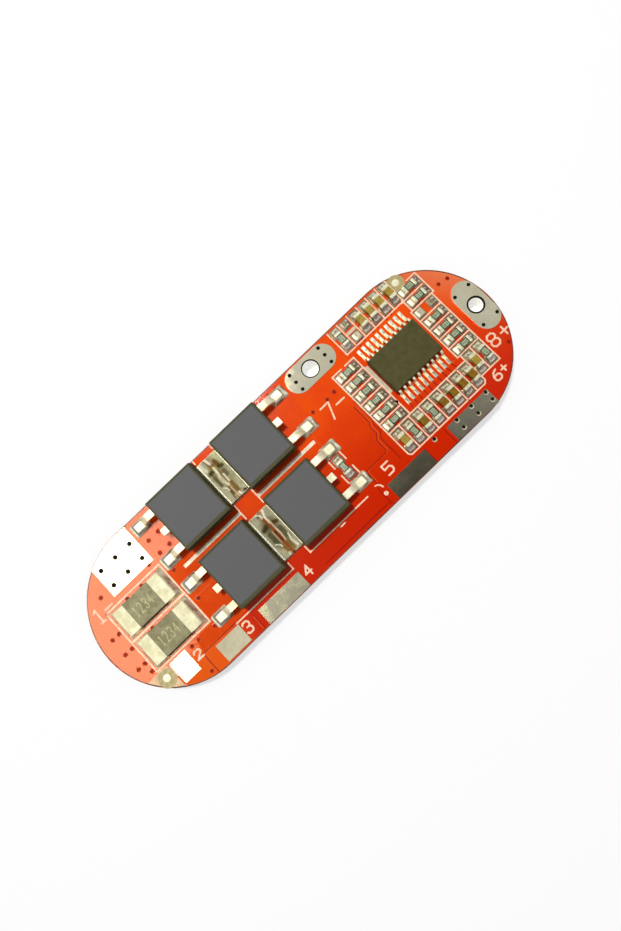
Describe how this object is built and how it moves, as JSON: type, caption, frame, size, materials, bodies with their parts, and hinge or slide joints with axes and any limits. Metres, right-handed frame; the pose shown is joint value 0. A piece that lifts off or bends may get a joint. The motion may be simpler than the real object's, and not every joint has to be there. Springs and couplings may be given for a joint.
{
  "type": "battery management board",
  "caption": "Round-ended circuit board that guards a three-cell battery: power transistors, current shunts, a controller, chip parts and wire pads.",
  "frame": {"origin": "middle of the underside, under the centre of the board's outline", "axes": "+X along the board towards the P+ end, +Y towards the long edge with the P- and B- pads, +Z out of the side that carries the parts"},
  "size_m": [0.054, 0.0178, 0.004],
  "materials": {
    "solder_mask": "glossy orange-red solder mask over glass-fibre laminate",
    "tinned_copper": "tin-levelled copper",
    "solder": "bright reflowed solder with traces of flux",
    "tinned_lead": "satin tin plating",
    "moulding": "fine matt epoxy moulding",
    "shunt_coat": "matt olive-grey coating",
    "resistor_ceramic": "dark glassy coat on ceramic, tinned ends",
    "capacitor_ceramic": "satin ochre ceramic, tinned ends"
  },
  "bodies": {
    "root": {"circuit_board": "solder_mask", "p_minus_terminal": "tinned_copper", "p_plus_terminal": "tinned_copper", "b_minus_pad": "tinned_copper", "b_plus_pad": "tinned_copper", "b1_pad": "tinned_copper", "b2_pad": "tinned_copper", "b_pad": "tinned_copper", "a_pad": "tinned_copper", "fiducial_dots": "tinned_copper", "transistor_lands": "tinned_copper", "shunt_lands": "tinned_copper", "controller_lands": "tinned_copper", "chip_lands": "tinned_copper", "transistor_solder": "solder", "shunt_solder": "solder", "controller_solder": "solder", "chip_solder": "solder", "controller_body": "moulding", "controller_leads": "tinned_lead", "transistor_1_body": "moulding", "transistor_2_body": "moulding", "transistor_3_body": "moulding", "transistor_4_body": "moulding", "transistor_1_lead_frame": "tinned_lead", "transistor_2_lead_frame": "tinned_lead", "transistor_3_lead_frame": "tinned_lead", "transistor_4_lead_frame": "tinned_lead", "shunt_1_element": "shunt_coat", "shunt_2_element": "shunt_coat", "shunt_1_terminals": "tinned_lead", "shunt_2_terminals": "tinned_lead", "chip_resistor_1": "resistor_ceramic", "chip_resistor_2": "resistor_ceramic", "chip_resistor_3": "resistor_ceramic", "chip_resistor_4": "resistor_ceramic", "chip_resistor_5": "resistor_ceramic", "chip_resistor_6": "resistor_ceramic", "chip_resistor_7": "resistor_ceramic", "chip_resistor_8": "resistor_ceramic", "chip_resistor_9": "resistor_ceramic", "chip_resistor_10": "resistor_ceramic", "chip_resistor_11": "resistor_ceramic", "chip_resistor_12": "resistor_ceramic", "chip_resistor_13": "resistor_ceramic", "chip_resistor_14": "resistor_ceramic", "chip_resistor_15": "resistor_ceramic", "chip_resistor_16": "resistor_ceramic", "chip_resistor_17": "resistor_ceramic", "chip_capacitor_1": "capacitor_ceramic", "chip_capacitor_2": "capacitor_ceramic", "chip_capacitor_3": "capacitor_ceramic", "chip_capacitor_4": "capacitor_ceramic", "chip_capacitor_5": "capacitor_ceramic", "chip_capacitor_6": "capacitor_ceramic", "chip_capacitor_7": "capacitor_ceramic", "chip_capacitor_8": "capacitor_ceramic", "chip_capacitor_9": "capacitor_ceramic", "chip_capacitor_10": "capacitor_ceramic", "chip_capacitor_11": "capacitor_ceramic"}
  },
  "joints": []
}
